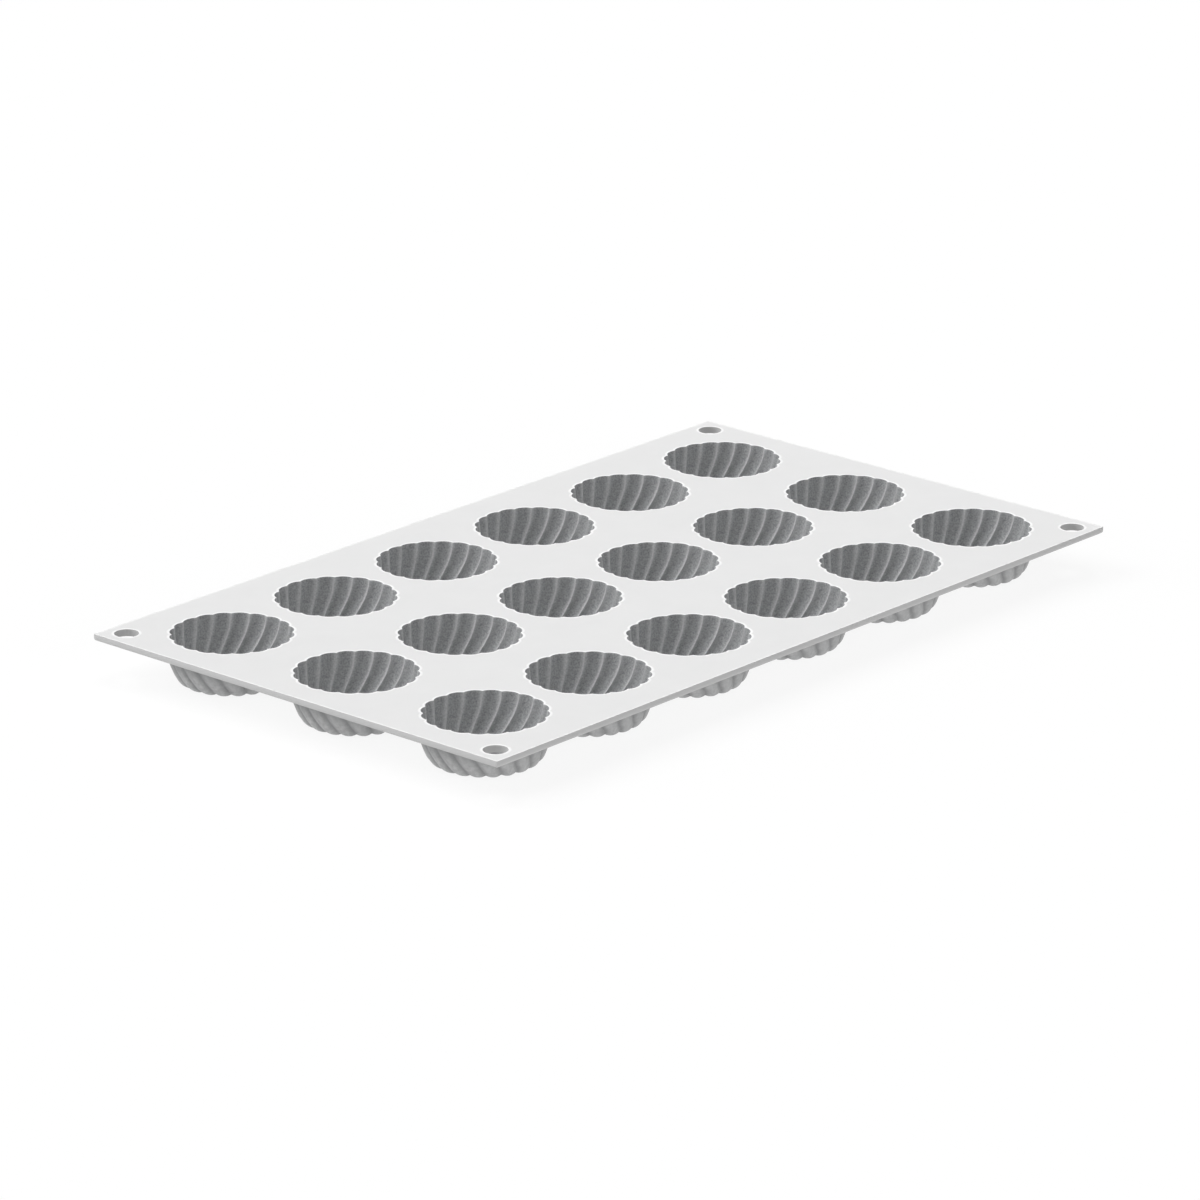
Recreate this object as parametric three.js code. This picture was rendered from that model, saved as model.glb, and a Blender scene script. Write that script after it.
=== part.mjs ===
// Silicone cake mould.
//
// A thin rectangular sheet carries rows of round cups. Each cup is a bowl of even thickness whose
// rounded flutes sweep round it on their way down to a flat floor, and it stands on a flat base.
// A round hole near each corner of the sheet hangs the mould on pegs.
//
// Units are millimetres and +Z is up. The long side of the sheet lies along X. The origin is in
// the middle of the footprint, on the surface that the cups stand on.

import * as THREE from 'three';

const { degToRad } = THREE.MathUtils;

// The sheet and the layout of its cups
const CUP_COLUMNS = 6;
const CUP_ROWS = 3;
const MOUTH_DIAMETER = 40; // over the crests of the flutes
const COLUMN_WEB_WIDTH = 8; // sheet left between neighbouring mouths along X
const ROW_WEB_WIDTH = 15; // and along Y
const END_BORDER = 10; // sheet outside the outer mouths at the two short ends
const SIDE_BORDER = 12.5; // and along the two long sides
const SHEET_THICKNESS = 2.4;
const SHEET_CORNER_RADIUS = 0.5;
const SHEET_EDGE_ROUNDING = 1.2; // of the lower edge of the sheet's border
const HANGING_HOLE_DIAMETER = 8;
const HANGING_HOLE_INSET = 7.5; // from both edges of a corner to the middle of its hole

// One cup, with depths measured down from the top face of the sheet
const CUP_DEPTH = 14.2; // down to the floor
const WALL_THICKNESS = 2; // square to the surface, in the wall and in the floor
const FOOT_LEAN = degToRad(25); // of the wall at its foot, where the floor's rounding starts
const WALL_BOW_POWER = 1.5; // above 1, the wall leans in more and more on its way down
const FLOOR_ROUNDING = 3.3; // between wall and floor, on the inside

// The flutes
const FLUTE_COUNT = 20;
const FLUTE_DEPTH = 0.95; // from the crest of a flute in to the ridge between two flutes
const OUTER_FLUTE_DEPTH = 0.7; // the same on the outer face, where the wall softens them
const FLUTE_SWEEP = degToRad(13.4); // turn of a flute on its way to the foot of the wall

// How finely the curved faces are cut. A flute's points are shares of its width from its crest
const FLUTE_POINTS = { fine: [-1 / 2, -1 / 6, 1 / 6], coarse: [-1 / 2, 0], plain: [0] };
const WAIST = 0.56; // height share of the inner ring between the sheet and the foot of the wall
const BASE_EDGE_LEAN = degToRad(60); // of the outer ring between the foot and the base
const EDGE_STEPS = 2;
const CORNER_STEPS = 2;
const HOLE_STEPS = 16;

// Sizes that follow from the ones above
const MOUTH_RADIUS = MOUTH_DIAMETER / 2;
const COLUMN_PITCH = MOUTH_DIAMETER + COLUMN_WEB_WIDTH;
const ROW_PITCH = MOUTH_DIAMETER + ROW_WEB_WIDTH;
const SHEET_LENGTH = (CUP_COLUMNS - 1) * COLUMN_PITCH + MOUTH_DIAMETER + 2 * END_BORDER;
const SHEET_WIDTH = (CUP_ROWS - 1) * ROW_PITCH + MOUTH_DIAMETER + 2 * SIDE_BORDER;
const MOULD_HEIGHT = CUP_DEPTH + WALL_THICKNESS;
const FOOT_DEPTH = CUP_DEPTH - FLOOR_ROUNDING * (1 - Math.sin(FOOT_LEAN));
const WALL_HEIGHT = FOOT_DEPTH - SHEET_THICKNESS;
const WALL_DRAW_IN = (WALL_HEIGHT * Math.tan(FOOT_LEAN)) / WALL_BOW_POWER;
const FLUTE_ANGLE = (2 * Math.PI) / FLUTE_COUNT;

const sheetSilicone = new THREE.MeshStandardMaterial({
  name: 'sheet_silicone', color: 0xe8e8e8, roughness: 0.6, metalness: 0,
});
const cupSilicone = new THREE.MeshStandardMaterial({
  name: 'cup_silicone', color: 0xa8aaab, roughness: 0.7, metalness: 0,
});

/** Closed body built from rings of points, with stitched walls between them and flat caps. */
class RingBody {
  #points = [];
  #triangles = [];

  /** Adds a ring of points and gives back their numbers in the body. */
  add(ring) {
    const start = this.#points.length;
    this.#points.push(...ring);
    return ring.map((point, index) => start + index);
  }

  /**
   * Joins two rings that go round together but may differ in their number of points. A wall from
   * an upper ring to a lower one faces outwards, and one from a lower ring to an upper, inwards.
   */
  stitch(from, to) {
    let i = 0;
    let j = 0;
    while (i < from.length || j < to.length) {
      const lead = (i + 1) / from.length - (j + 1) / to.length;
      const fromIsNext = from.length < to.length ? lead < 0 : lead <= 0;
      const edge = [from[i % from.length], to[j % to.length]];
      if (fromIsNext) {
        i += 1;
        this.#triangles.push(...edge, from[i % from.length]);
      } else {
        j += 1;
        this.#triangles.push(...edge, to[j % to.length]);
      }
    }
  }

  /** Fills a level ring, apart from the rings of its holes, with a face that looks up or down. */
  cap(ring, looksUp, holes = []) {
    const flat = (numbers) => numbers.map((number) => {
      const { x, y } = this.#points[number];
      return new THREE.Vector2(x, y);
    });
    const numbers = [ring, ...holes].flat();
    for (const triangle of THREE.ShapeUtils.triangulateShape(flat(ring), holes.map(flat))) {
      const corners = looksUp ? triangle : triangle.toReversed();
      this.#triangles.push(...corners.map((corner) => numbers[corner]));
    }
  }

  /** The body as a geometry. */
  toGeometry() {
    const geometry = new THREE.BufferGeometry().setFromPoints(this.#points);
    geometry.setIndex(this.#triangles);
    geometry.computeVertexNormals();
    return geometry;
  }
}

/** Ring of points at a depth, from an outline in flat X and Y. */
function ringAt(outline, depth) {
  return outline.map(({ x, y }) => new THREE.Vector3(x, y, -depth));
}

/** Radius of a fluted outline at an angle away from the crest of a flute, which is an arc. */
function fluteRadius(crestRadius, fluteDepth, angleFromCrest) {
  const ridgeRadius = crestRadius - fluteDepth;
  const arcCentre =
    (crestRadius ** 2 - ridgeRadius ** 2) /
    (2 * (crestRadius - ridgeRadius * Math.cos(FLUTE_ANGLE / 2)));
  const arcRadius = crestRadius - arcCentre;
  const across = arcCentre * Math.sin(angleFromCrest);
  return arcCentre * Math.cos(angleFromCrest) + Math.sqrt(arcRadius ** 2 - across ** 2);
}

/** Points round a fluted outline, in flat X and Y. */
function fluteOutline(crestRadius, fluteDepth, flutePoints, turn = 0) {
  const points = [];
  for (let flute = 0; flute < FLUTE_COUNT; flute += 1) {
    for (const share of flutePoints) {
      const radius = fluteRadius(crestRadius, fluteDepth, share * FLUTE_ANGLE);
      const angle = (flute + share) * FLUTE_ANGLE + turn;
      points.push(new THREE.Vector2(radius * Math.cos(angle), radius * Math.sin(angle)));
    }
  }
  return points;
}

/** How far down the bowed wall a depth is: 0 under the sheet and 1 at the foot of the wall. */
function wallProgress(depth) {
  return ((depth - SHEET_THICKNESS) / WALL_HEIGHT) ** WALL_BOW_POWER;
}

/** Station of the cup's inner face on the wall, at a share of its height down from the sheet. */
function wallStation(share) {
  const depth = SHEET_THICKNESS + share * WALL_HEIGHT;
  return {
    depth,
    crestRadius: MOUTH_RADIUS - WALL_DRAW_IN * wallProgress(depth),
    lean: Math.atan(Math.tan(FOOT_LEAN) * share ** (WALL_BOW_POWER - 1)),
    turn: FLUTE_SWEEP * wallProgress(depth),
  };
}

/** Station of the cup's inner face on the rounding between the wall and the floor. */
function roundingStation(lean) {
  const depth = CUP_DEPTH - FLOOR_ROUNDING * (1 - Math.sin(lean));
  const inwards = FLOOR_ROUNDING * (Math.cos(FOOT_LEAN) - Math.cos(lean));
  return {
    depth,
    crestRadius: MOUTH_RADIUS - WALL_DRAW_IN - inwards,
    lean,
    turn: FLUTE_SWEEP * wallProgress(depth),
  };
}

/** Level ring of the cup's inner face. */
function innerRing({ depth, crestRadius, turn }, flutePoints) {
  return ringAt(fluteOutline(crestRadius, FLUTE_DEPTH, flutePoints, turn), depth);
}

/** Level ring of the cup's outer face, one wall thickness out from a station of the inner face. */
function outerRing({ depth, crestRadius, lean, turn }, flutePoints) {
  const radius = crestRadius + WALL_THICKNESS * Math.cos(lean);
  const outline = fluteOutline(radius, OUTER_FLUTE_DEPTH, flutePoints, turn);
  return ringAt(outline, depth + WALL_THICKNESS * Math.sin(lean));
}

/** Bowl whose rings run from its floor up the inside, over its rim and down to its base. */
function bowlGeometry() {
  const rim = wallStation(0);
  const foot = wallStation(1);
  const floor = roundingStation(Math.PI / 2);
  const body = new RingBody();
  const rings = [
    innerRing(floor, FLUTE_POINTS.plain),
    innerRing(foot, FLUTE_POINTS.coarse),
    innerRing(wallStation(WAIST), FLUTE_POINTS.fine),
    innerRing(rim, FLUTE_POINTS.fine),
    outerRing(rim, FLUTE_POINTS.plain),
    outerRing(foot, FLUTE_POINTS.coarse),
    outerRing(roundingStation(BASE_EDGE_LEAN), FLUTE_POINTS.plain),
    outerRing(floor, FLUTE_POINTS.plain),
  ].map((ring) => body.add(ring));
  rings.slice(1).forEach((ring, index) => body.stitch(rings[index], ring));
  body.cap(rings.at(0), true);
  body.cap(rings.at(-1), false);
  return body.toGeometry();
}

/** Where the cups stand, with the name of each. */
function cupPlaces() {
  const places = [];
  for (let row = 0; row < CUP_ROWS; row += 1) {
    for (let column = 0; column < CUP_COLUMNS; column += 1) {
      places.push({
        name: `cup_row${row + 1}_col${column + 1}`,
        x: (column - (CUP_COLUMNS - 1) / 2) * COLUMN_PITCH,
        y: (row - (CUP_ROWS - 1) / 2) * ROW_PITCH,
      });
    }
  }
  return places;
}

/** Outline of the sheet, moved in from its full size by an inset. */
function sheetOutline(inset) {
  const x = SHEET_LENGTH / 2 - inset - SHEET_CORNER_RADIUS;
  const y = SHEET_WIDTH / 2 - inset - SHEET_CORNER_RADIUS;
  const quarter = Math.PI / 2;
  return [[x, y], [-x, y], [-x, -y], [x, -y]].flatMap(([cornerX, cornerY], index) => (
    new THREE.EllipseCurve(
      cornerX, cornerY, SHEET_CORNER_RADIUS, SHEET_CORNER_RADIUS,
      index * quarter, (index + 1) * quarter,
    ).getPoints(CORNER_STEPS)
  ));
}

/** Rings of the sheet's border, from the top face down over the rounded lower edge. */
function borderRings() {
  const rings = [ringAt(sheetOutline(0), 0)];
  for (let step = 0; step <= EDGE_STEPS; step += 1) {
    const angle = (step / EDGE_STEPS) * (Math.PI / 2);
    const inset = SHEET_EDGE_ROUNDING * (1 - Math.cos(angle));
    const rise = SHEET_EDGE_ROUNDING * (1 - Math.sin(angle));
    rings.push(ringAt(sheetOutline(inset), SHEET_THICKNESS - rise));
  }
  return rings;
}

/** Outlines of the holes through the sheet: the mouths of the cups and the hanging holes. */
function holeOutlines() {
  const moved = (outline, x, y) => outline.map((point) => new THREE.Vector2(point.x + x, point.y + y));
  const mouth = fluteOutline(MOUTH_RADIUS, FLUTE_DEPTH, FLUTE_POINTS.fine);
  const outlines = cupPlaces().map(({ x, y }) => moved(mouth, x, y));

  const holeRadius = HANGING_HOLE_DIAMETER / 2;
  const circle = new THREE.EllipseCurve(0, 0, holeRadius, holeRadius);
  const hangingHole = circle.getPoints(HOLE_STEPS).slice(1);
  const holeX = SHEET_LENGTH / 2 - HANGING_HOLE_INSET;
  const holeY = SHEET_WIDTH / 2 - HANGING_HOLE_INSET;
  for (const sideX of [-1, 1]) {
    for (const sideY of [-1, 1]) {
      outlines.push(moved(hangingHole, sideX * holeX, sideY * holeY));
    }
  }
  return outlines;
}

/** Flat sheet with a fluted mouth over each cup and a hanging hole in each corner. */
function sheetGeometry() {
  const body = new RingBody();
  const border = borderRings().map((ring) => body.add(ring));
  border.slice(1).forEach((ring, index) => body.stitch(border[index], ring));

  const outlines = holeOutlines();
  const holesAbove = outlines.map((outline) => body.add(ringAt(outline, 0)));
  const holesBelow = outlines.map((outline) => body.add(ringAt(outline, SHEET_THICKNESS)));
  holesBelow.forEach((hole, index) => body.stitch(hole, holesAbove[index]));

  body.cap(border.at(0), true, holesAbove);
  body.cap(border.at(-1), false, holesBelow);
  return body.toGeometry();
}

/** The sheet and, each with its rim flat against the sheet's underside, the cups. */
function makeMould() {
  const mould = new THREE.Group();
  mould.position.z = MOULD_HEIGHT;

  const sheet = new THREE.Mesh(sheetGeometry(), sheetSilicone);
  sheet.name = 'sheet';
  mould.add(sheet);

  const bowl = bowlGeometry();
  for (const { name, x, y } of cupPlaces()) {
    const cup = new THREE.Mesh(bowl, cupSilicone);
    cup.name = name;
    cup.position.set(x, y, 0);
    mould.add(cup);
  }
  return mould;
}

export default makeMould();
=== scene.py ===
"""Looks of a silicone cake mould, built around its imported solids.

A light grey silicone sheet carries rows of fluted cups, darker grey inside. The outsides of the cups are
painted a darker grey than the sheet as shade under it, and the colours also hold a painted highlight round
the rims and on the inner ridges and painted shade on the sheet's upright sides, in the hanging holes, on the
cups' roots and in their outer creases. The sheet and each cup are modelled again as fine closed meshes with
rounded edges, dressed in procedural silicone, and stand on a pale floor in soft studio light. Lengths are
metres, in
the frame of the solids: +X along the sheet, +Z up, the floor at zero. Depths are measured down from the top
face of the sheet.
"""

import logging
import math
from dataclasses import dataclass, replace
from enum import Enum
from typing import Callable, Iterable

import bmesh
import bpy
import numpy as np
from mathutils import Matrix, Vector


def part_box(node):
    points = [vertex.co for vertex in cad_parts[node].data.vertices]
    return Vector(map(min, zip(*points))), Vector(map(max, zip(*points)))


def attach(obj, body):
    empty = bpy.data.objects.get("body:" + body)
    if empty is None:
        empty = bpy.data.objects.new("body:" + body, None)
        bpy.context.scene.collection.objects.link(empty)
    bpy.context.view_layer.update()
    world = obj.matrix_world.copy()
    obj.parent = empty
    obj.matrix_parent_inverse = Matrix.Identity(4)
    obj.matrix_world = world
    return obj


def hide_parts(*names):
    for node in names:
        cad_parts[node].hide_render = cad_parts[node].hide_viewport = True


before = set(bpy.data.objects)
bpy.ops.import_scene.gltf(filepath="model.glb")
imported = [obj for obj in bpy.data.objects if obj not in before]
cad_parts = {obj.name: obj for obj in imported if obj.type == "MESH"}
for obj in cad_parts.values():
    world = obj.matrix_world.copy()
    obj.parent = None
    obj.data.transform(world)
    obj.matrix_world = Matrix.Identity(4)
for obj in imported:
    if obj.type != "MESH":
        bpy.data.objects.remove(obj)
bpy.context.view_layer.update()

MM = 0.001
ROOT_BODY = "root"
SHEET_NODE = "sheet"
# Painted highlight along the rims of the mouths and holes and the top of the border.
PAINTED_HIGHLIGHT_ATTRIBUTE = "painted_highlight"
RIDGE_ATTRIBUTE = "ridge"
# Painted shade on the sheet's upright sides and hole walls, and on the cups' roots under the sheet.
PAINTED_SHADE_ATTRIBUTE = "side"

logger = logging.getLogger("cake_mould")

Colour = tuple[float, float, float, float]
Ring = list[bmesh.types.BMVert]


class Slot(Enum):
    """Material slots of the record."""

    SHEET = "sheet_silicone"
    CUP = "cup_silicone"


class SheetFace(Enum):
    """Which of the sheet's two finishes a face wears."""

    OUTSIDE = 0
    MOUTH_WALL = 1


class CupFace(Enum):
    """The two faces of a cup's wall, which wear different finishes."""

    INNER = 0
    OUTER = 1


def grey(level: float, blue: float = 0.0) -> Colour:
    """Return an opaque grey, cooled by a little blue."""
    return (level, level + blue / 2, level + blue, 1.0)


@dataclass(frozen=True)
class Flutes:
    """Round flutes that meet in soft ridges all round a face of a cup.

    Attributes:
        depth: Distance from the crest of a flute in to its ridges.
        ridge_softness: Share of half a flute over which a ridge is rounded.
        count: Number of flutes round a cup.
        points: Number of mesh points across one flute.
        roundness: Half the width of a flute over the radius of its arc.
        ridge_width: Share of half a flute that the painted highlight or painted shade at a ridge covers.
    """

    depth: float
    ridge_softness: float
    count: int = 20
    points: int = 12
    roundness: float = 0.69
    ridge_width: float = 0.12

    def angles(self) -> np.ndarray:
        """Return the angle of each point of a ring, starting on a ridge."""
        flute = np.repeat(np.arange(self.count), self.points)
        return (flute + self._across() / 2) * 2 * math.pi / self.count

    def relief(self) -> np.ndarray:
        """Return how deep each point of a ring lies below the crests of the flutes.

        The depth is a mean over a small width, which rounds the ridges.
        """
        across = self._across()
        shifts = (-self.ridge_softness, 0.0, self.ridge_softness)
        return sum(self._arc_depth(across + shift) for shift in shifts) / len(shifts)

    def ridge_share(self) -> np.ndarray:
        """Return how much of the painted highlight or painted shade at a ridge each point of a ring has, 1
        on the ridge itself.
        """
        from_ridge = 1 - np.abs(self._across())
        return np.exp(-((from_ridge / self.ridge_width) ** 2))

    def _across(self) -> np.ndarray:
        """Return each point's place across its flute, from -1 on one ridge to 1 on the next.

        The points lie closer together beside the ridges.
        """
        even = 2 * np.arange(self.points) / self.points - 1
        return np.tile(np.sin(even * math.pi / 2), self.count)

    def _arc_depth(self, across: np.ndarray) -> np.ndarray:
        """Return the depth of a round flute below its crest.

        Args:
            across: Place across the flute, which may run a little past its ridges.

        Returns:
            Depth in metres, 0 on the crest and the full depth on a ridge.
        """
        wrapped = (across + 1) % 2 - 1
        fall = 1 - np.sqrt(1 - (self.roundness * wrapped) ** 2)
        return self.depth * fall / (1 - math.sqrt(1 - self.roundness**2))


@dataclass(frozen=True)
class Station:
    """One level of a cup's profile, on the crests of its flutes.

    Attributes:
        radius: Distance from the cup's axis.
        depth: Depth below the sheet's top face.
        lean: Lean of the face, 0 where it is upright and a quarter turn where it is level.
        turn: How far the flutes have turned here.
        flute_share: Share of the flutes' depth here.
    """

    radius: float
    depth: float
    lean: float
    turn: float
    flute_share: float = 1.0

    def moved_out(self, distance: float) -> "Station":
        """Return the station moved by a distance square to its face."""
        radius = self.radius + distance * math.cos(self.lean)
        depth = self.depth + distance * math.sin(self.lean)
        return replace(self, radius=radius, depth=depth)


@dataclass(frozen=True)
class Bowl:
    """Form of a fluted cup, whose wall of even thickness bows in and bends into a flat floor.

    Attributes:
        sheet_thickness: Thickness of the sheet that the cup hangs from.
        height: From the cup's base to the top face of the sheet.
        inner_flutes: Flutes of the inner face.
        outer_flutes: Flutes of the outer face, where the wall softens them.
        mouth_radius: Radius over the crests of the flutes at the top face.
        wall: Thickness of the wall and of the floor.
        draw_in: How much narrower the wall would be at the level of the floor than at the mouth.
        sweep: How far a flute turns between the mouth and the level of the floor.
        bow_power: Above 1, the wall leans more and more on its way down.
        turn_power: Above 1, the flutes turn more and more on their way down.
        floor_rounding: Radius between the wall and the floor, on the inner face.
        root_rounding: Depth of the rounding between the sheet and the outside of the wall.
        inner_fade: Share of the flutes' depth that is lost on the way round the inner rounding.
        outer_fade: Share that is lost on the way round the outer rounding.
        wall_steps: Mesh rings up the wall.
        bend_steps: Mesh rings round a rounding.
    """

    sheet_thickness: float
    height: float
    # The inner ridge_width spreads a painted highlight along the ridges; the outer one spreads painted shade
    # along the creases.
    inner_flutes: Flutes = Flutes(depth=1.05 * MM, ridge_softness=0.05, roundness=0.9, ridge_width=0.28)
    outer_flutes: Flutes = Flutes(depth=0.8 * MM, ridge_softness=0.12, ridge_width=0.35)
    mouth_radius: float = 20.0 * MM
    wall: float = 2.0 * MM
    draw_in: float = 4.08 * MM
    sweep: float = math.radians(16.5)
    bow_power: float = 1.85
    turn_power: float = 2.0
    floor_rounding: float = 3.3 * MM
    root_rounding: float = 0.4 * MM
    inner_fade: float = 0.6
    outer_fade: float = 0.1
    wall_steps: int = 16
    bend_steps: int = 8

    FOOT_ROUNDS = 8
    LEVEL_RINGS = ((0.97, 0.65), (0.93, 0.3), (0.88, 0.08), (0.8, 0.0), (0.5, 0.0), (0.2, 0.0))

    @property
    def inner_depth(self) -> float:
        """Return the depth of the floor."""
        return self.height - self.wall

    def station(self, depth: float) -> Station:
        """Return the inner face of the wall at a depth."""
        share = depth / self.inner_depth
        slope = self.draw_in * self.bow_power * share ** (self.bow_power - 1) / self.inner_depth
        radius = self.mouth_radius - self.draw_in * share**self.bow_power
        return Station(radius, depth, math.atan(slope), self.sweep * share**self.turn_power)

    def ring_points(self, station: Station, flutes: Flutes) -> np.ndarray:
        """Return the points of a fluted ring round the cup's axis.

        Args:
            station: Level of the profile.
            flutes: Flutes of the face.

        Returns:
            Array of points, with depths as negative heights.
        """
        relief = flutes.relief() * station.flute_share
        angles = flutes.angles() + station.turn
        radii = station.radius - relief * math.cos(station.lean)
        heights = -station.depth + relief * math.sin(station.lean)
        return np.column_stack((radii * np.cos(angles), radii * np.sin(angles), heights))

    def inner_profile(self) -> list[Station]:
        """Return the inner face from the underside of the sheet to near the middle of the floor."""
        stations = self._wall_stations(self.sheet_thickness)
        stations += self._bend_stations(self.inner_fade)
        return stations + self._level_stations(stations[-1])

    def outer_profile(self) -> list[Station]:
        """Return the outer face from the underside of the sheet to near the middle of the base."""
        inside = self._wall_stations(self.sheet_thickness + self.root_rounding)
        inside += self._bend_stations(self.outer_fade)
        stations = [station.moved_out(self.wall) for station in inside]
        return self._root_stations(stations[0]) + stations + self._level_stations(stations[-1])

    def _foot(self) -> Station:
        """Return the inner face where the wall starts to bend into the floor, found by repeated steps."""
        foot = self.station(self.inner_depth - self.floor_rounding)
        for _ in range(self.FOOT_ROUNDS):
            foot = self.station(self.inner_depth - self.floor_rounding * (1 - math.sin(foot.lean)))
        return foot

    def _wall_stations(self, top: float) -> list[Station]:
        """Return the inner face of the wall, from a depth at its top down to its foot."""
        return [self.station(depth) for depth in np.linspace(top, self._foot().depth, self.wall_steps)]

    def _bend_stations(self, fade: float) -> list[Station]:
        """Return the rounding of the inner face, from below the foot of the wall to the floor.

        Args:
            fade: Share of the flutes' depth that is lost on the way.

        Returns:
            Stations in order.
        """
        foot = self._foot()
        stations = []
        for step in np.linspace(0.0, 1.0, self.bend_steps + 1)[1:]:
            lean = foot.lean + (math.pi / 2 - foot.lean) * step
            radius = foot.radius + self.floor_rounding * (math.cos(lean) - math.cos(foot.lean))
            depth = foot.depth + self.floor_rounding * (math.sin(lean) - math.sin(foot.lean))
            turn = self.station(depth).turn
            stations.append(Station(radius, depth, lean, turn, 1 - fade * step**2))
        return stations

    def _root_stations(self, start: Station) -> list[Station]:
        """Return the rounding that carries the outside of the wall up into the sheet."""
        reach = start.depth - self.sheet_thickness
        stations = []
        for turn in np.linspace(0.0, math.pi / 2, self.bend_steps // 2, endpoint=False):
            radius = start.radius + reach * (1 - math.sin(turn))
            depth = start.depth - reach * math.cos(turn)
            stations.append(replace(start, radius=radius, depth=depth, lean=0.0))
        return stations

    def _level_stations(self, edge: Station) -> list[Station]:
        """Return rings across a level face, by their shares of its radius and of the flutes' depth."""
        return [
            replace(edge, radius=edge.radius * radius, flute_share=edge.flute_share * flute)
            for radius, flute in self.LEVEL_RINGS
        ]


class RingMesh:
    """Mesh made of rings of points that are bridged, fanned or filled."""

    def __init__(self, name: str) -> None:
        """Start an empty mesh with its point attributes."""
        self.name = name
        self.bm = bmesh.new()
        # Point layers for the painted highlight, nearness to a ridge and the painted shade.
        self.painted_highlight = self.bm.verts.layers.float.new(PAINTED_HIGHLIGHT_ATTRIBUTE)
        self.ridge = self.bm.verts.layers.float.new(RIDGE_ATTRIBUTE)
        self.side = self.bm.verts.layers.float.new(PAINTED_SHADE_ATTRIBUTE)

    def add_ring(
        self, points: np.ndarray, painted_highlight: float = 0.0, side: float = 0.0, ridges: np.ndarray | None = None
    ) -> Ring:
        """Add a closed ring of points.

        Args:
            points: Points in order round the ring.
            painted_highlight: How much painted highlight the ring has.
            side: How much painted shade the ring has, on the sheet's upright sides or on a cup's root.
            ridges: How near each point lies to a ridge.

        Returns:
            The ring's vertices.
        """
        ring = [self.bm.verts.new(point) for point in points]
        for index, vert in enumerate(ring):
            vert[self.painted_highlight] = painted_highlight
            vert[self.side] = side
            vert[self.ridge] = 0.0 if ridges is None else ridges[index]
        return ring

    def bridge(self, first: Ring, second: Ring, finish: int = 0) -> None:
        """Join two rings with the same number of points by a band of smooth quads."""
        for index, vert in enumerate(first):
            follower = (index + 1) % len(first)
            face = self.bm.faces.new((vert, first[follower], second[follower], second[index]))
            face.smooth = True
            face.material_index = finish

    def bridge_all(self, rings: list[Ring], finish: int = 0) -> None:
        """Join each ring to the next one."""
        for first, second in zip(rings, rings[1:]):
            self.bridge(first, second, finish)

    def fan(self, ring: Ring, centre: Vector, finish: int = 0) -> None:
        """Close a ring by triangles that meet in a middle point."""
        middle = self.bm.verts.new(centre)
        for index, vert in enumerate(ring):
            face = self.bm.faces.new((vert, ring[(index + 1) % len(ring)], middle))
            face.smooth = True
            face.material_index = finish

    def fill_level(self, rings: Iterable[Ring]) -> None:
        """Fill the level area between an outline and its holes with flat triangles."""
        edges = []
        for ring in rings:
            for index, vert in enumerate(ring):
                edges.append(self.bm.edges.get((vert, ring[(index + 1) % len(ring)])))
        bmesh.ops.triangle_fill(self.bm, use_beauty=True, edges=edges)

    def finish(self, sharp_angle: float) -> bpy.types.Mesh:
        """Turn all faces outwards and return the mesh.

        Args:
            sharp_angle: Edges that fold more than this stay crisp.

        Returns:
            The finished mesh.
        """
        bmesh.ops.recalc_face_normals(self.bm, faces=self.bm.faces)
        mesh = bpy.data.meshes.new(self.name)
        self.bm.to_mesh(mesh)
        self.bm.free()
        mesh.set_sharp_from_angle(angle=sharp_angle)
        return mesh


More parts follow.
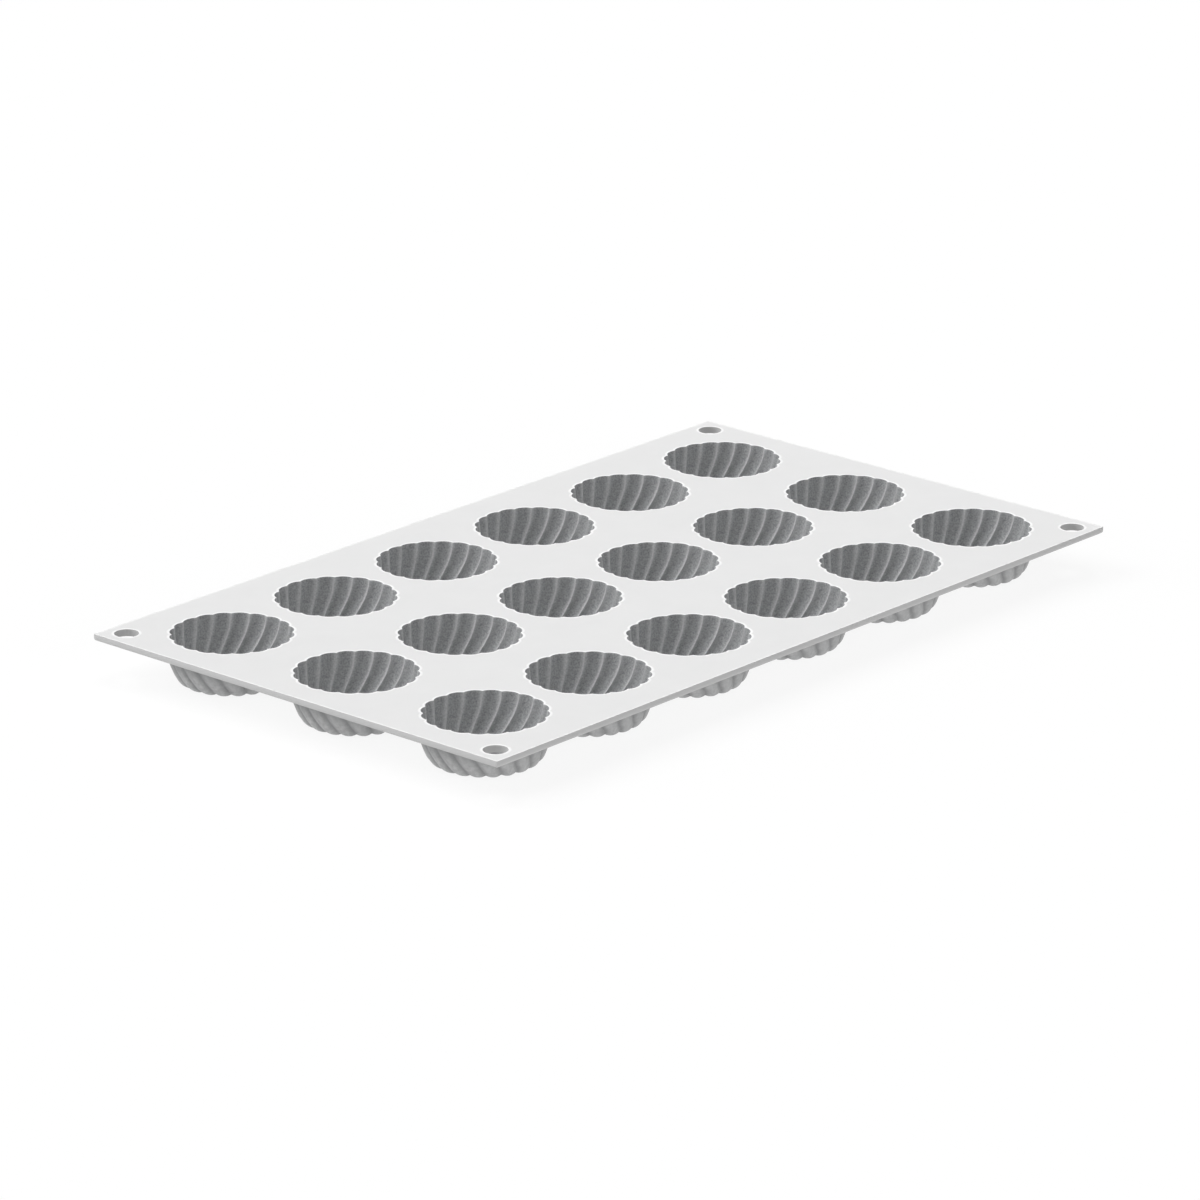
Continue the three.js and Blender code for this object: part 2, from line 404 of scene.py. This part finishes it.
class ShaderGraph:
    """Node tree of a new material that ends in a Principled shader."""

    MIX_FACTOR, MIX_FIRST, MIX_SECOND, MIX_RESULT = 0, 6, 7, 2
    NOISE_LOW, NOISE_HIGH = 0.3, 0.7

    def __init__(self, name: str) -> None:
        """Create the material and keep its shader."""
        self.material = bpy.data.materials.new(name)
        self.material.use_nodes = True
        self.nodes = self.material.node_tree.nodes
        self.links = self.material.node_tree.links
        self.shader = self.nodes["Principled BSDF"]
        self.place = self.nodes.new("ShaderNodeTexCoord").outputs["Object"]

    def set(self, **values: float) -> None:
        """Set constants on the shader's own sockets, with underscores for spaces."""
        for name, value in values.items():
            self.shader.inputs[name.replace("_", " ")].default_value = value

    def noise(self, feature: float, detail: float, roughness: float = 0.5) -> bpy.types.NodeSocket:
        """Return a noise pattern.

        Args:
            feature: Size of its largest features.
            detail: Number of finer octaves.
            roughness: Strength of the finer octaves.

        Returns:
            Output socket with values about one half.
        """
        node = self.nodes.new("ShaderNodeTexNoise")
        node.inputs["Scale"].default_value = 1 / feature
        node.inputs["Detail"].default_value = detail
        node.inputs["Roughness"].default_value = roughness
        self.links.new(self.place, node.inputs["Vector"])
        return node.outputs["Fac"]

    def attribute(self, name: str) -> bpy.types.NodeSocket:
        """Return a point attribute of the mesh as a value."""
        node = self.nodes.new("ShaderNodeAttribute")
        node.attribute_name = name
        return node.outputs["Fac"]

    def spread(self, value: bpy.types.NodeSocket, low: float, high: float) -> bpy.types.NodeSocket:
        """Return a noise value stretched from its usual range to one between two limits."""
        node = self.nodes.new("ShaderNodeMapRange")
        node.inputs["From Min"].default_value = self.NOISE_LOW
        node.inputs["From Max"].default_value = self.NOISE_HIGH
        node.inputs["To Min"].default_value = low
        node.inputs["To Max"].default_value = high
        self.links.new(value, node.inputs["Value"])
        return node.outputs["Result"]

    def scale(self, value: bpy.types.NodeSocket, factor: float) -> bpy.types.NodeSocket:
        """Return a value times a factor."""
        node = self.nodes.new("ShaderNodeMath")
        node.operation = "MULTIPLY"
        node.inputs[1].default_value = factor
        self.links.new(value, node.inputs[0])
        return node.outputs[0]

    def mix(
        self,
        factor: bpy.types.NodeSocket,
        first: bpy.types.NodeSocket | Colour,
        second: bpy.types.NodeSocket | Colour,
    ) -> bpy.types.NodeSocket:
        """Return a mix of two colours.

        Args:
            factor: Share of the second colour.
            first: Colour or socket.
            second: Colour or socket.

        Returns:
            Output socket with the mixed colour.
        """
        node = self.nodes.new("ShaderNodeMix")
        node.data_type = "RGBA"
        self.links.new(factor, node.inputs[self.MIX_FACTOR])
        for index, colour in ((self.MIX_FIRST, first), (self.MIX_SECOND, second)):
            if isinstance(colour, tuple):
                node.inputs[index].default_value = colour
            else:
                self.links.new(colour, node.inputs[index])
        return node.outputs[self.MIX_RESULT]

    def bump(self, height: bpy.types.NodeSocket, depth: float, strength: float) -> None:
        """Raise a fine relief on the shader's surface.

        Args:
            height: Pattern of the relief.
            depth: Height of the relief.
            strength: Share of the relief that shows.
        """
        node = self.nodes.new("ShaderNodeBump")
        node.inputs["Strength"].default_value = strength
        node.inputs["Distance"].default_value = depth
        self.links.new(height, node.inputs["Height"])
        self.links.new(node.outputs["Normal"], self.shader.inputs["Normal"])

    def paint(self, colour: bpy.types.NodeSocket, roughness: bpy.types.NodeSocket) -> None:
        """Link the colour and the roughness to the shader."""
        self.links.new(colour, self.shader.inputs["Base Color"])
        self.links.new(roughness, self.shader.inputs["Roughness"])


@dataclass(frozen=True)
class Silicone:
    """Matt silicone with a clouded tone and a fine grain, with a painted highlight on rims and inner ridges
    and painted shade in outer creases, on upright sides and on roots.

    Attributes:
        name: Name of the material.
        pale: Lighter tone of the pattern.
        dull: Darker tone of the pattern.
        edge: Painted highlight on the rims and inner ridges, or painted shade in the outer creases between
            flutes.
        pattern: Size of the pattern of tones.
        grain: Size of the matt grain.
        grain_depth: Depth of the matt grain.
        smooth: Lowest roughness.
        rough: Highest roughness.
        side: Painted shade on the sheet's upright sides and hole walls, or on the cups' roots under the
            sheet.
        ridge_mix: Share of the edge tone, as painted highlight or painted shade, on a ridge.
    """

    name: str
    pale: Colour
    dull: Colour
    edge: Colour
    pattern: float
    grain: float
    grain_depth: float
    smooth: float
    rough: float
    side: Colour | None = None
    ridge_mix: float = 0.0

    PATTERN_DETAIL = 3.0
    PATTERN_ROUGHNESS = 0.6
    GRAIN_DETAIL = 2.0
    GRAIN_STRENGTH = 0.3
    REFRACTION = 1.41
    SPECULAR = 0.3

    def make(self) -> bpy.types.Material:
        """Return the material."""
        graph = ShaderGraph(self.name)
        clouds = graph.noise(self.pattern, self.PATTERN_DETAIL, self.PATTERN_ROUGHNESS)
        colour = graph.mix(graph.spread(clouds, 0.0, 1.0), self.dull, self.pale)
        # Painted shade on upright sides, hole walls and roots.
        if self.side:
            colour = graph.mix(graph.attribute(PAINTED_SHADE_ATTRIBUTE), colour, self.side)
        # Painted highlight on inner ridges, painted shade in outer creases.
        ridge = graph.scale(graph.attribute(RIDGE_ATTRIBUTE), self.ridge_mix)
        colour = graph.mix(ridge, colour, self.edge)
        # Painted highlight along the rims.
        colour = graph.mix(graph.attribute(PAINTED_HIGHLIGHT_ATTRIBUTE), colour, self.edge)
        grain = graph.noise(self.grain, self.GRAIN_DETAIL)
        graph.paint(colour, graph.spread(grain, self.smooth, self.rough))
        graph.bump(grain, self.grain_depth, self.GRAIN_STRENGTH)
        graph.set(IOR=self.REFRACTION, Specular_IOR_Level=self.SPECULAR)
        return graph.material


# The edge tone is a painted highlight along the rims and the border; the darkest tone is painted shade on
# the upright sides and in the hanging holes.
SHEET_FINISH = Silicone(
    name="sheet_silicone_matt",
    pale=grey(0.808),
    dull=grey(0.792),
    edge=grey(0.97),
    pattern=14.0 * MM,
    grain=0.35 * MM,
    grain_depth=0.02 * MM,
    smooth=0.6,
    rough=0.72,
    side=grey(0.384),
)
# The edge tone is a painted highlight on the ridges and round the rims of the mouths.
CUP_INSIDE_FINISH = Silicone(
    name="cup_silicone_inside",
    pale=grey(0.465, blue=0.012),
    dull=grey(0.23, blue=0.012),
    edge=grey(0.95, blue=0.006),
    pattern=0.6 * MM,
    grain=0.6 * MM,
    grain_depth=0.04 * MM,
    smooth=0.68,
    rough=0.8,
    ridge_mix=0.32,
)
# Painted shade: the outside is the sheet's light silicone, painted a darker grey as shade under the sheet.
# The edge tone is painted shade in the creases, and the darkest tone is painted shade on the roots.
CUP_OUTSIDE_FINISH = Silicone(
    name="cup_silicone_outside",
    pale=grey(0.5, blue=0.004),
    dull=grey(0.38, blue=0.004),
    edge=grey(0.19, blue=0.004),
    pattern=1.3 * MM,
    grain=0.5 * MM,
    grain_depth=0.03 * MM,
    smooth=0.64,
    rough=0.76,
    side=grey(0.16, blue=0.004),
    ridge_mix=0.62,
)


@dataclass
class Cup:
    """One fluted cup under the sheet.

    Attributes:
        node: Solid that the cup stands for.
        centre: Middle of the mouth, on the sheet's top face.
        mesh: Form that all cups share.
        piece: The cup's object, once it is built.
    """

    node: str
    centre: Vector
    mesh: bpy.types.Mesh
    piece: bpy.types.Object | None = None

    SHARP_ANGLE = math.radians(60)
    # Reach of the painted shade on the roots, below the sheet.
    SHADE_DEPTH = 9.0 * MM

    @classmethod
    def make_mesh(cls, bowl: Bowl) -> bpy.types.Mesh:
        """Return the closed form of a cup, with the middle of its mouth at the origin.

        Args:
            bowl: Form of the cup.

        Returns:
            The mesh that all cups share.
        """
        mesh = RingMesh("fluted_cup")
        inner = cls._face_rings(mesh, bowl, bowl.inner_profile(), bowl.inner_flutes)
        outer = cls._face_rings(mesh, bowl, bowl.outer_profile(), bowl.outer_flutes, cls.SHADE_DEPTH)
        mesh.bridge_all(inner, CupFace.INNER.value)
        mesh.bridge_all([inner[0], *outer], CupFace.OUTER.value)
        mesh.fan(inner[-1], Vector((0, 0, -bowl.inner_depth)), CupFace.INNER.value)
        mesh.fan(outer[-1], Vector((0, 0, -bowl.height)), CupFace.OUTER.value)
        return mesh.finish(cls.SHARP_ANGLE)

    @staticmethod
    def _face_rings(
        mesh: RingMesh, bowl: Bowl, profile: list[Station], flutes: Flutes, shade_depth: float = 0.0
    ) -> list[Ring]:
        """Add the rings of one face of the cup.

        Args:
            mesh: Mesh to add to.
            bowl: Form of the cup.
            profile: Stations of the face.
            flutes: Flutes of the face.
            shade_depth: How far below the sheet the painted shade on the root reaches.

        Returns:
            A ring for each station.
        """
        ridges = flutes.ridge_share()
        rings = []
        for station in profile:
            # Painted shade on the root, full at the sheet and gone at the shade depth.
            below = station.depth - bowl.sheet_thickness
            shade = max(0.0, 1 - below / shade_depth) if shade_depth else 0.0
            points = bowl.ring_points(station, flutes)
            rings.append(mesh.add_ring(points, side=shade, ridges=ridges * station.flute_share))
        return rings

    def build(self) -> None:
        """Hang the cup under its mouth, on the body of the mould."""
        self.piece = bpy.data.objects.new(f"{self.node}_silicone", self.mesh)
        self.piece.location = self.centre
        bpy.context.scene.collection.objects.link(self.piece)
        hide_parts(self.node)
        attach(self.piece, ROOT_BODY)

    def dress(self) -> None:
        """Leave the finishes as they are: the shared mesh already wears both."""


@dataclass(frozen=True)
class EdgeLook:
    """Shape, painted highlight and painted shade of an upright edge of the sheet.

    Attributes:
        rounding: Radius of its lower edge.
        painted_highlight: Strength of the painted highlight along its top.
        side: How much painted shade it has.
    """

    rounding: float
    painted_highlight: float
    side: float


@dataclass
class Sheet:
    """Flat sheet with a fluted mouth over each cup and a hanging hole in each corner.

    Attributes:
        low: Lowest corner of the sheet's solid.
        high: Highest corner of the sheet's solid.
        bowl: Form of the cups.
        mouths: Middle of each mouth.
        corner_radius: Radius of the sheet's corners.
        hole_radius: Radius of a hanging hole.
        hole_inset: From both edges of a corner to the middle of its hole.
        top_rounding: Radius of the edges of the top face.
        border_rounding: Radius of the border's lower edge.
        hole_rounding: Radius of a hanging hole's lower edge.
        painted_highlight_width: Width of the pale lip on the top face.
        painted_highlight_fade: Width over which the lip fades into the top face.
        border_highlight: Strength of the lip along the border of the sheet.
        border_painted_shade: How much of the sides' darker tone the border wears.
        hole_painted_shade: How much of it the walls of the hanging holes wear.
        mouth_flute_share: Share of the flutes' depth that shows at the top face.
        piece: The sheet's object, once it is built.
    """

    low: Vector
    high: Vector
    bowl: Bowl
    mouths: list[Vector]
    corner_radius: float = 0.5 * MM
    hole_radius: float = 3.87 * MM
    hole_inset: float = 7.5 * MM
    top_rounding: float = 0.15 * MM
    border_rounding: float = 1.2 * MM
    hole_rounding: float = 0.2 * MM
    # painted_highlight_width: Width of the painted highlight on the top face.
    painted_highlight_width: float = 0.45 * MM
    # painted_highlight_fade: Width over which the painted highlight fades into the top face.
    painted_highlight_fade: float = 0.55 * MM
    # border_highlight: Strength of the painted highlight along the border of the sheet.
    border_highlight: float = 0.5
    # border_painted_shade: How much painted shade the border has.
    border_painted_shade: float = 0.7
    # hole_painted_shade: How much painted shade the walls of the hanging holes have.
    hole_painted_shade: float = 0.8
    mouth_flute_share: float = 0.9
    piece: bpy.types.Object | None = None

    SHARP_ANGLE = math.radians(50)
    SHARPEST_CORNER = 0.05 * MM
    ROUNDING_STEPS = 5
    CORNER_STEPS = 6
    HOLE_STEPS = 64
    MOUTH_WALL_STEPS = 4

    @property
    def thickness(self) -> float:
        """Return the thickness of the sheet."""
        return self.high.z - self.low.z

    def build(self) -> None:
        """Make the sheet's closed mesh and seat it on the body of the mould."""
        mesh = RingMesh("mould_sheet")
        # Upright edges carry a painted highlight along their tops and painted shade down their faces.
        border = EdgeLook(self.border_rounding, painted_highlight=self.border_highlight, side=self.border_painted_shade)
        hole = EdgeLook(self.hole_rounding, painted_highlight=1.0, side=self.hole_painted_shade)
        stacks = [self._edge_rings(mesh, self._border, border)]
        stacks += [self._edge_rings(mesh, outline, hole) for outline in self._hole_outlines()]
        stacks += [self._mouth_rings(mesh, centre) for centre in self.mouths]
        mesh.fill_level(rings[0] for rings in stacks)
        mesh.fill_level(rings[-1] for rings in stacks)
        self.piece = bpy.data.objects.new("sheet_silicone", mesh.finish(self.SHARP_ANGLE))
        bpy.context.scene.collection.objects.link(self.piece)
        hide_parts(SHEET_NODE)
        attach(self.piece, ROOT_BODY)

    def dress(self, outside: bpy.types.Material, mouth_wall: bpy.types.Material) -> None:
        """Give the sheet its two finishes.

        Args:
            outside: Finish of the flat faces, edges and holes.
            mouth_wall: Finish of the walls of the mouths, which belong to the cups.
        """
        self.piece.data.materials.append(outside)
        self.piece.data.materials.append(mouth_wall)

    def _painted_highlight_steps(self) -> list[tuple[float, float]]:
        """Return (offset, highlight share) across the painted highlight on the flat top, towards an opening
        or the border.
        """
        edge = self.top_rounding
        return [(edge + self.painted_highlight_width + self.painted_highlight_fade, 0.0), (edge + self.painted_highlight_width, 1.0), (edge, 1.0)]

    def _top_steps(self) -> list[tuple[float, float]]:
        """Return (offset, depth) from the flat top over its rounded edge to an upright wall."""
        rounding = self.top_rounding
        turns = np.linspace(0.0, math.pi / 2, self.ROUNDING_STEPS)[1:]
        return [(rounding * (1 - math.sin(turn)), rounding * (1 - math.cos(turn))) for turn in turns]

    def _under_steps(self, rounding: float) -> list[tuple[float, float]]:
        """Return (offset, depth) from an upright wall over its rounded lower edge to the underside."""
        steps = []
        for turn in np.linspace(0.0, math.pi / 2, self.ROUNDING_STEPS):
            depth = self.thickness - rounding * (1 - math.sin(turn))
            steps.append((rounding * (1 - math.cos(turn)), depth))
        return steps

    def _edge_rings(
        self, mesh: RingMesh, outline: Callable[[float], np.ndarray], look: EdgeLook
    ) -> list[Ring]:
        """Add the upright edge round an outline, rounded above and below.

        The last ring, on the underside, keeps the edge's painted shade off the flat face.

        Args:
            mesh: Mesh to add to.
            outline: Gives the outline's points, moved into the sheet by an offset.
            look: Rounding, painted highlight and painted shade of the edge.

        Returns:
            Rings from the top face to the underside.
        """
        rings = []
        # Painted highlight on the flat top beside the edge.
        for offset, painted_highlight in self._painted_highlight_steps():
            rings.append(mesh.add_ring(self._at_depth(outline(offset), 0.0), painted_highlight=painted_highlight * look.painted_highlight))
        # Painted shade over the rounded edge and down its face.
        for offset, depth in (*self._top_steps(), *self._under_steps(look.rounding)):
            rings.append(mesh.add_ring(self._at_depth(outline(offset), depth), side=look.side))
        rings.append(mesh.add_ring(self._at_depth(outline(look.rounding + self.painted_highlight_fade), self.thickness)))
        mesh.bridge_all(rings, SheetFace.OUTSIDE.value)
        return rings

    def _at_depth(self, outline: np.ndarray, depth: float) -> np.ndarray:
        """Return the points of a flat outline at a depth below the top face."""
        return np.column_stack((outline, np.full(len(outline), self.high.z - depth)))

    def _mouth_rings(self, mesh: RingMesh, centre: Vector) -> list[Ring]:
        """Add a fluted mouth: a painted highlight round its rim, then a wall that runs down into the cup.

        Args:
            mesh: Mesh to add to.
            centre: Middle of the mouth.

        Returns:
            Rings from the top face to the underside.
        """
        place = np.array(centre)
        flutes = self.bowl.inner_flutes
        ridges = flutes.ridge_share()
        rings = []
        # Painted highlight on the flat top round the mouth.
        for offset, painted_highlight in self._painted_highlight_steps():
            points = self.bowl.ring_points(self._mouth_station(0.0, offset), flutes)
            rings.append(mesh.add_ring(points + place, painted_highlight=painted_highlight))
        painted_highlight_ring_count = len(rings)
        wall = np.linspace(self.top_rounding, self.thickness, self.MOUTH_WALL_STEPS)[1:]
        # The mouth wall carries the painted highlight on its ridges.
        for offset, depth in (*self._top_steps(), *((0.0, depth) for depth in wall)):
            points = self.bowl.ring_points(self._mouth_station(depth, offset), flutes)
            rings.append(mesh.add_ring(points + place, ridges=ridges))
        mesh.bridge_all(rings[:painted_highlight_ring_count], SheetFace.OUTSIDE.value)
        mesh.bridge_all(rings[painted_highlight_ring_count - 1 :], SheetFace.MOUTH_WALL.value)
        return rings

    def _mouth_station(self, depth: float, offset: float) -> Station:
        """Return a level of a mouth, which takes on the wall's lean on its way through the sheet."""
        wall = self.bowl.station(depth)
        share = depth / self.thickness
        flute_share = self.mouth_flute_share + (1 - self.mouth_flute_share) * share
        return replace(wall, radius=wall.radius + offset, lean=wall.lean * share, flute_share=flute_share)

    def _border(self, offset: float) -> np.ndarray:
        """Return the sheet's outline with rounded corners, moved inwards by an offset."""
        middle = (self.low + self.high) / 2
        radius = max(self.corner_radius - offset, self.SHARPEST_CORNER)
        reach = (self.high - self.low) / 2 - Vector((1, 1, 0)) * (offset + radius)
        points = []
        for corner, (side_x, side_y) in enumerate(((1, 1), (-1, 1), (-1, -1), (1, -1))):
            turns = (corner + np.linspace(0.0, 1.0, self.CORNER_STEPS)) * math.pi / 2
            across = middle.x + side_x * reach.x + radius * np.cos(turns)
            along = middle.y + side_y * reach.y + radius * np.sin(turns)
            points.append(np.column_stack((across, along)))
        return np.vstack(points)

    def _hole_outlines(self) -> list[Callable[[float], np.ndarray]]:
        """Return the outline of each hanging hole, as a function of its offset into the sheet."""
        turns = np.linspace(0.0, 2 * math.pi, self.HOLE_STEPS, endpoint=False)
        circle = np.column_stack((np.cos(turns), np.sin(turns)))
        outlines = []
        for hole_x in (self.low.x + self.hole_inset, self.high.x - self.hole_inset):
            for hole_y in (self.low.y + self.hole_inset, self.high.y - self.hole_inset):
                centre = np.array((hole_x, hole_y))
                outlines.append(
                    lambda offset, centre=centre: centre + circle * (self.hole_radius + offset)
                )
        return outlines


@dataclass(frozen=True)
class PhotoCamera:
    """Camera at the photograph's viewpoint.

    Attributes:
        azimuth: Turn about the mould, 0 looking along +Y.
        elevation: Height of the viewpoint above the horizon.
        distance: From the middle of the sheet's top face to the viewpoint's plane.
        across: Shift of the viewpoint to the right.
        upward: Shift of the viewpoint upwards.
        lens: Focal length, in millimetres on the sensor below.
        sensor: Width of the sensor, in millimetres.
    """

    azimuth: float = math.radians(-48.292)
    elevation: float = math.radians(19.176)
    distance: float = 2.2342
    across: float = -3.27 * MM
    upward: float = -6.83 * MM
    lens: float = 205.07
    sensor: float = 36.0

    def build(self, target: Vector) -> None:
        """Create the camera and make it the scene's own.

        Args:
            target: Middle of the sheet's top face.
        """
        level = math.cos(self.elevation)
        back = Vector((
            math.sin(self.azimuth) * level,
            -math.cos(self.azimuth) * level,
            math.sin(self.elevation),
        ))
        right = Vector((math.cos(self.azimuth), math.sin(self.azimuth), 0))
        upward = back.cross(right)
        data = bpy.data.cameras.new("photo_camera")
        data.lens = self.lens
        data.sensor_width = self.sensor
        camera = bpy.data.objects.new("photo_camera", data)
        eye = target + back * self.distance + right * self.across + upward * self.upward
        turned = Matrix((right, upward, back)).transposed().to_4x4()
        camera.matrix_world = Matrix.Translation(eye) @ turned
        bpy.context.scene.collection.objects.link(camera)
        bpy.context.scene.camera = camera


@dataclass(frozen=True)
class Lamp:
    """Soft lamp that stands far off.

    Attributes:
        name: Name of the lamp.
        azimuth: Where it stands round the mould, as for the camera.
        elevation: Height above the horizon.
        level: Brightness that it gives a white surface facing it, where 1 is white.
        spread: Angle that it covers, which makes its shadows soft.
    """

    name: str
    azimuth: float
    elevation: float
    level: float
    spread: float = math.radians(35)

    def build(self) -> None:
        """Hang the lamp, facing the mould, with no glare of its own on the silicone."""
        data = bpy.data.lights.new(self.name, "SUN")
        data.energy = self.level * math.pi
        data.angle = self.spread
        lamp = bpy.data.objects.new(self.name, data)
        lamp.rotation_euler = (math.pi / 2 - self.elevation, 0.0, self.azimuth)
        lamp.visible_glossy = False
        bpy.context.scene.collection.objects.link(lamp)


@dataclass(frozen=True)
class Studio:
    """Pale floor, white surroundings and soft light.

    Attributes:
        floor_size: Side of the floor.
        floor_colour: Tone of the floor for the light that it throws back.
        floor_white: Share of plain white in what the camera sees of the floor.
        floor_glow: Share of plain white in the light that the floor throws back.
        sky: Strength of the even light from all round.
        lamps: Soft lamps.
    """

    floor_size: float = 8.0
    floor_colour: Colour = grey(0.95)
    floor_white: float = 0.88
    floor_glow: float = 0.6
    sky: float = 0.02
    lamps: tuple[Lamp, ...] = (
        Lamp("left_light", math.radians(-135), math.radians(50), level=0.55),
        Lamp("low_left_light", math.radians(-136), math.radians(12), level=0.31),
        Lamp("front_light", math.radians(-10), math.radians(12), level=0.31),
        Lamp("top_light", 0.0, math.radians(90), level=0.375),
        Lamp("right_light", math.radians(72), math.radians(50), level=0.08),
    )

    def build(self) -> None:
        """Set the floor, the surroundings and the lamps."""
        self._build_floor()
        self._build_sky()
        for lamp in self.lamps:
            lamp.build()
        bpy.context.scene.view_settings.view_transform = "Standard"

    def _build_floor(self) -> None:
        """Lay the floor, which keeps the mould's shadow."""
        mesh = bpy.data.meshes.new("floor")
        bm = bmesh.new()
        bmesh.ops.create_grid(bm, x_segments=1, y_segments=1, size=self.floor_size / 2)
        bm.to_mesh(mesh)
        bm.free()
        mesh.materials.append(self._floor_material())
        floor = bpy.data.objects.new("floor", mesh)
        bpy.context.scene.collection.objects.link(floor)

    def _floor_material(self) -> bpy.types.Material:
        """Return a pale floor that the camera sees as white."""
        material = bpy.data.materials.new("pale_floor")
        material.use_nodes = True
        tree = material.node_tree
        tree.nodes.clear()
        bounced = tree.nodes.new("ShaderNodeBsdfDiffuse")
        bounced.inputs["Color"].default_value = self.floor_colour
        shaded = tree.nodes.new("ShaderNodeBsdfDiffuse")
        shaded.inputs["Color"].default_value = grey(1.0)
        glow = tree.nodes.new("ShaderNodeEmission")
        glow.inputs["Strength"].default_value = 1.0
        thrown = self._mix(tree, self.floor_glow, bounced.outputs[0], glow.outputs[0])
        seen = self._mix(tree, self.floor_white, shaded.outputs[0], glow.outputs[0])
        output = tree.nodes.new("ShaderNodeOutputMaterial")
        chosen = self._mix(tree, self._seen_share(tree), thrown, seen)
        tree.links.new(chosen, output.inputs["Surface"])
        return material

    def _build_sky(self) -> None:
        """Light the scene evenly from all round, and show white behind it."""
        world = bpy.data.worlds.new("studio")
        world.use_nodes = True
        tree = world.node_tree
        tree.nodes.clear()
        light = tree.nodes.new("ShaderNodeBackground")
        light.inputs["Strength"].default_value = self.sky
        white = tree.nodes.new("ShaderNodeBackground")
        white.inputs["Strength"].default_value = 1.0
        for node in (light, white):
            node.inputs["Color"].default_value = grey(1.0)
        output = tree.nodes.new("ShaderNodeOutputWorld")
        chosen = self._mix(tree, self._seen_share(tree), light.outputs[0], white.outputs[0])
        tree.links.new(chosen, output.inputs["Surface"])
        bpy.context.scene.world = world

    @staticmethod
    def _mix(
        tree: bpy.types.NodeTree,
        share: bpy.types.NodeSocket | float,
        first: bpy.types.NodeSocket,
        second: bpy.types.NodeSocket,
    ) -> bpy.types.NodeSocket:
        """Return a mix of two shaders.

        Args:
            tree: Node tree to add to.
            share: Share of the second shader, as a number or a socket.
            first: Output of a shader.
            second: Output of a shader.

        Returns:
            Output socket with the mixed shader.
        """
        node = tree.nodes.new("ShaderNodeMixShader")
        if isinstance(share, float):
            node.inputs["Fac"].default_value = share
        else:
            tree.links.new(share, node.inputs["Fac"])
        tree.links.new(first, node.inputs[1])
        tree.links.new(second, node.inputs[2])
        return node.outputs[0]

    @staticmethod
    def _seen_share(tree: bpy.types.NodeTree) -> bpy.types.NodeSocket:
        """Return 1 for camera, glossy and transmission rays, and 0 for the light that falls on things."""
        path = tree.nodes.new("ShaderNodeLightPath")
        total = path.outputs["Is Camera Ray"]
        for name in ("Is Glossy Ray", "Is Transmission Ray"):
            node = tree.nodes.new("ShaderNodeMath")
            node.operation = "MAXIMUM"
            tree.links.new(total, node.inputs[0])
            tree.links.new(path.outputs[name], node.inputs[1])
            total = node.outputs[0]
        return total


def cup_nodes() -> list[str]:
    """Return the names of the cups' solids in order."""
    return sorted(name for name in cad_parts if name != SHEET_NODE)


def mouth_centre(node: str, top: float) -> Vector:
    """Return the middle of a cup's mouth.

    Args:
        node: Name of the cup's solid.
        top: Height of the sheet's top face.

    Returns:
        Point on the top face.
    """
    low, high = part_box(node)
    middle = (low + high) / 2
    return Vector((middle.x, middle.y, top))


def main() -> None:
    """Build the mould and its studio, and report each piece."""
    logging.basicConfig(level=logging.INFO, format="%(message)s")
    low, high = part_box(SHEET_NODE)
    nodes = cup_nodes()
    base = min(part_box(node)[0].z for node in nodes)
    bowl = Bowl(sheet_thickness=high.z - low.z, height=high.z - base)
    centres = [mouth_centre(node, high.z) for node in nodes]

    middle = (low + high) / 2
    PhotoCamera().build(Vector((middle.x, middle.y, high.z)))
    Studio().build()

    cup_inside = CUP_INSIDE_FINISH.make()
    cup_outside = CUP_OUTSIDE_FINISH.make()
    sheet = Sheet(low, high, bowl, centres)
    sheet.build()
    sheet.dress(SHEET_FINISH.make(), cup_inside)
    logger.info("%s: %d faces", sheet.piece.name, len(sheet.piece.data.polygons))

    cup_mesh = Cup.make_mesh(bowl)
    cup_mesh.materials.append(cup_inside)
    cup_mesh.materials.append(cup_outside)
    for node, centre in zip(nodes, centres):
        cup = Cup(node, centre, cup_mesh)
        cup.build()
        cup.dress()
        logger.info("%s: %d faces", cup.piece.name, len(cup_mesh.polygons))


if __name__ == "__main__":
    main()
